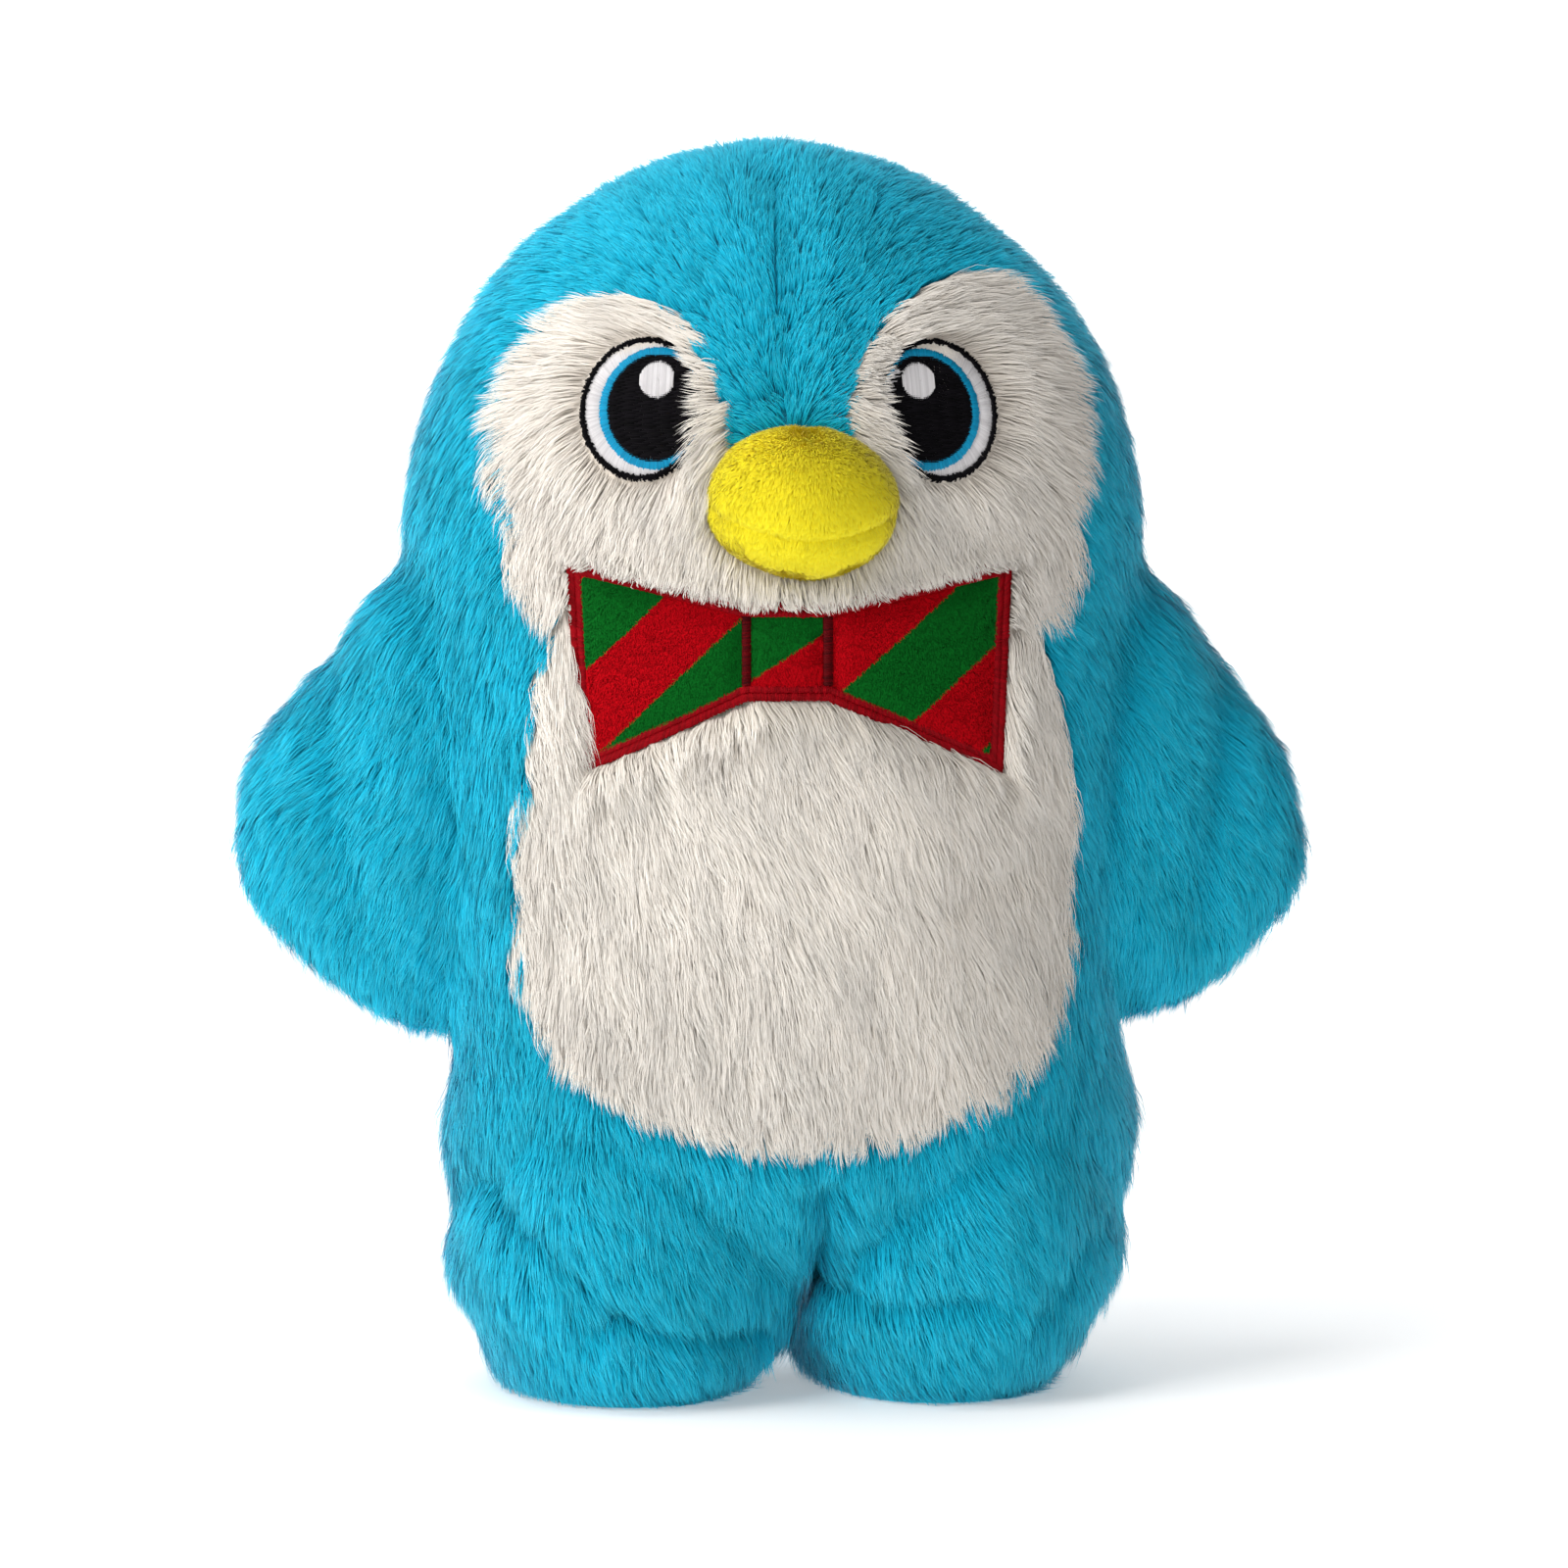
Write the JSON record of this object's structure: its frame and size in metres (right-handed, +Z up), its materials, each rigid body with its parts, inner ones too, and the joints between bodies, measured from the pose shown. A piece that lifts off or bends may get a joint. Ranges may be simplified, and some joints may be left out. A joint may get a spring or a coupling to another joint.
{
  "type": "plush penguin",
  "caption": "Stuffed plush penguin standing on two padded feet, with stubby sewn-on wings, an embroidered face, a short-pile beak and a flat striped bow tie.",
  "frame": {"origin": "on the surface it stands on, under the middle of its bounding box", "axes": "+Z up, the face and beak towards -Y, the penguin's own left towards +X"},
  "size_m": [0.268, 0.149, 0.319],
  "materials": {
    "blue_plush": "matte",
    "white_plush": "matte",
    "yellow_plush": "matte",
    "fibre_fill": "matte",
    "black_thread": "satin",
    "blue_thread": "satin",
    "white_thread": "satin",
    "tie_velour": "matte",
    "red_thread": "satin",
    "tie_felt": "matte",
    "sole_fabric": "matte"
  },
  "bodies": {
    "torso": {"front_panel_left": "blue_plush", "back_panel_left": "blue_plush", "cheek_patch_left": "white_plush", "sole_left": "sole_fabric", "eye_patch_left": "white_thread", "eye_outline_left": "black_thread", "eye_iris_left": "blue_thread", "eye_pupil_left": "black_thread", "eye_highlight_left": "white_thread", "front_panel_right": "blue_plush", "back_panel_right": "blue_plush", "cheek_patch_right": "white_plush", "sole_right": "sole_fabric", "eye_patch_right": "white_thread", "eye_outline_right": "black_thread", "eye_iris_right": "blue_thread", "eye_pupil_right": "black_thread", "eye_highlight_right": "white_thread", "belly_panel": "white_plush", "body_stuffing": "fibre_fill", "beak_upper": "yellow_plush", "beak_lower": "yellow_plush", "beak_stuffing": "fibre_fill", "tie_backing": "tie_felt", "tie_fabric": "tie_velour", "tie_border": "red_thread", "tie_dividers": "red_thread"},
    "wing_left": {"wing_front_left": "blue_plush", "wing_back_left": "blue_plush", "wing_stuffing_left": "fibre_fill"},
    "wing_right": {"wing_front_right": "blue_plush", "wing_back_right": "blue_plush", "wing_stuffing_right": "fibre_fill"}
  },
  "joints": [
    {"name": "left_wing_flap", "type": "hinge", "parent": "torso", "child": "wing_left", "pos_m": [0.091, 0.00975, 0.15], "axis": [0.0739, 0, 0.9973], "range_deg": [-35, 35], "stiffness_Nm_per_rad": 0.01},
    {"name": "right_wing_flap", "type": "hinge", "parent": "torso", "child": "wing_right", "pos_m": [-0.091, 0.00975, 0.15], "axis": [-0.0739, 0, 0.9973], "range_deg": [-35, 35], "stiffness_Nm_per_rad": 0.01}
  ]
}
